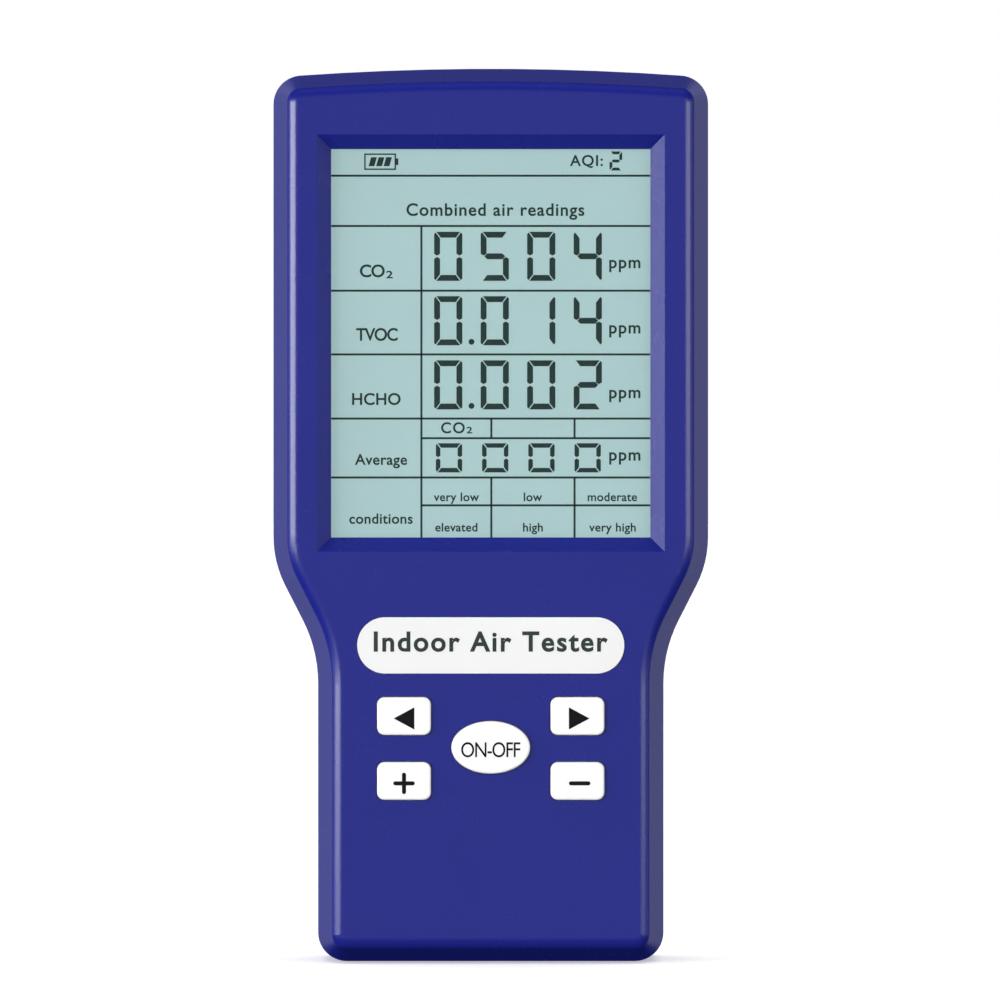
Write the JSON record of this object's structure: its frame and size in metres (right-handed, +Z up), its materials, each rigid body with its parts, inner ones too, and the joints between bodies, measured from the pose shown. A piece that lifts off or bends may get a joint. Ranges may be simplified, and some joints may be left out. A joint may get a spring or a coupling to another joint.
{
  "type": "air quality monitor",
  "caption": "Handheld air quality monitor with a waisted two-part case, segment display behind a window, push keys and a fold-out stand.",
  "frame": {"origin": "middle of the base of the upright monitor", "axes": "+Z up along the monitor's length, the display faces -Y, +X to the right seen from the front"},
  "size_m": [0.0754, 0.0355, 0.155],
  "materials": {
    "case_blue": "satin blue ABS with a fine texture",
    "window_clear": "clear acrylic",
    "white_plate": "white printed plate",
    "key_white": "white moulded keys",
    "switch_black": "black moulding",
    "steel_bright": "stamped steel",
    "plunger_brown": "moulded plunger",
    "holder_white": "white moulding",
    "polariser": "grey-green film",
    "lcd_glass": "polished glass",
    "reflector_film": "diffuse film",
    "guide_clear": "light guide acrylic",
    "led_white": "white strip",
    "contact_rubber": "conductive rubber",
    "board_green": "solder mask over glass laminate",
    "chip_black": "moulded package",
    "capacitor_tan": "ceramic",
    "resistor_black": "ceramic with tinned ends",
    "screw_steel": "zinc-plated steel",
    "cell_silver": "foil pouch",
    "foam_black": "foam tape",
    "lead_red": "silicone sleeve",
    "connector_cream": "nylon connector",
    "sensor_gold": "gold-plated housing",
    "membrane_white": "filter membrane",
    "sensor_white": "moulded cell",
    "pin_gold": "gold-plated pins",
    "screen_cloth": "woven dust screen",
    "display_ink": "driven display segments",
    "legend_ink": "printed key legends",
    "badge_ink": "printed title"
  },
  "bodies": {
    "case": {"backlight_guide": "guide_clear", "backlight_led_strip": "led_white", "battery_cell": "cell_silver", "battery_header": "connector_cream", "battery_leads": "lead_red", "battery_plug": "connector_cream", "battery_tape": "foam_black", "board_screws": "screw_steel", "buzzer": "switch_black", "case_screws": "screw_steel", "charger_chip": "chip_black", "chip_capacitors": "capacitor_tan", "chip_resistors": "resistor_black", "co2_sensor_housing": "sensor_gold", "co2_sensor_membranes": "membrane_white", "controller_chip": "chip_black", "crystal": "steel_bright", "display_driver_chip": "chip_black", "display_window": "window_clear", "front_shell": "case_blue", "hcho_sensor_cell": "sensor_white", "hcho_sensor_filter": "membrane_white", "lcd_contact_strip": "contact_rubber", "lcd_front_glass": "lcd_glass", "lcd_holder": "holder_white", "lcd_polariser": "polariser", "lcd_rear_glass": "lcd_glass", "lcd_reflector": "reflector_film", "left_switch_body": "switch_black", "left_switch_cover": "steel_bright", "main_board": "board_green", "minus_switch_body": "switch_black", "minus_switch_cover": "steel_bright", "plus_switch_body": "switch_black", "plus_switch_cover": "steel_bright", "power_inductor": "chip_black", "power_switch_body": "switch_black", "power_switch_cover": "steel_bright", "rear_shell": "case_blue", "right_switch_body": "switch_black", "right_switch_cover": "steel_bright", "sensor_pins": "pin_gold", "title_badge": "white_plate", "tvoc_sensor_base": "steel_bright", "tvoc_sensor_cap": "steel_bright", "usb_socket_shell": "steel_bright", "usb_socket_tongue": "chip_black", "vent_screen": "screen_cloth"},
    "stand": {"kickstand": "case_blue"},
    "left_key": {"left_key": "key_white"},
    "left_plunger": {"left_switch_plunger": "plunger_brown"},
    "right_key": {"right_key": "key_white"},
    "right_plunger": {"right_switch_plunger": "plunger_brown"},
    "plus_key": {"plus_key": "key_white"},
    "plus_plunger": {"plus_switch_plunger": "plunger_brown"},
    "minus_key": {"minus_key": "key_white"},
    "minus_plunger": {"minus_switch_plunger": "plunger_brown"},
    "power_key": {"power_key": "key_white"},
    "power_plunger": {"power_switch_plunger": "plunger_brown"}
  },
  "joints": [
    {"name": "left_key_press", "type": "slide", "parent": "case", "child": "left_key", "axis": [0, 1, 0], "range_m": [0, 0.0005], "stiffness_N_per_m": 2000},
    {"name": "left_plunger_travel", "type": "slide", "parent": "case", "child": "left_plunger", "axis": [0, 1, 0], "range_m": [0, 0.0005]},
    {"name": "right_key_press", "type": "slide", "parent": "case", "child": "right_key", "axis": [0, 1, 0], "range_m": [0, 0.0005], "stiffness_N_per_m": 2000},
    {"name": "right_plunger_travel", "type": "slide", "parent": "case", "child": "right_plunger", "axis": [0, 1, 0], "range_m": [0, 0.0005]},
    {"name": "plus_key_press", "type": "slide", "parent": "case", "child": "plus_key", "axis": [0, 1, 0], "range_m": [0, 0.0005], "stiffness_N_per_m": 2000},
    {"name": "plus_plunger_travel", "type": "slide", "parent": "case", "child": "plus_plunger", "axis": [0, 1, 0], "range_m": [0, 0.0005]},
    {"name": "minus_key_press", "type": "slide", "parent": "case", "child": "minus_key", "axis": [0, 1, 0], "range_m": [0, 0.0005], "stiffness_N_per_m": 2000},
    {"name": "minus_plunger_travel", "type": "slide", "parent": "case", "child": "minus_plunger", "axis": [0, 1, 0], "range_m": [0, 0.0005]},
    {"name": "power_key_press", "type": "slide", "parent": "case", "child": "power_key", "axis": [0, 1, 0], "range_m": [0, 0.0005], "stiffness_N_per_m": 2000},
    {"name": "power_plunger_travel", "type": "slide", "parent": "case", "child": "power_plunger", "axis": [0, 1, 0], "range_m": [0, 0.0005]},
    {"name": "stand_hinge", "type": "hinge", "parent": "case", "child": "stand", "pos_m": [0, 0.0152, 0.096], "axis": [1, 0, 0], "range_deg": [0, 40]}
  ],
  "couplings": [
    {"joint": "left_plunger_travel", "follows": "left_key_press", "ratio": 1},
    {"joint": "right_plunger_travel", "follows": "right_key_press", "ratio": 1},
    {"joint": "plus_plunger_travel", "follows": "plus_key_press", "ratio": 1},
    {"joint": "minus_plunger_travel", "follows": "minus_key_press", "ratio": 1},
    {"joint": "power_plunger_travel", "follows": "power_key_press", "ratio": 1}
  ]
}
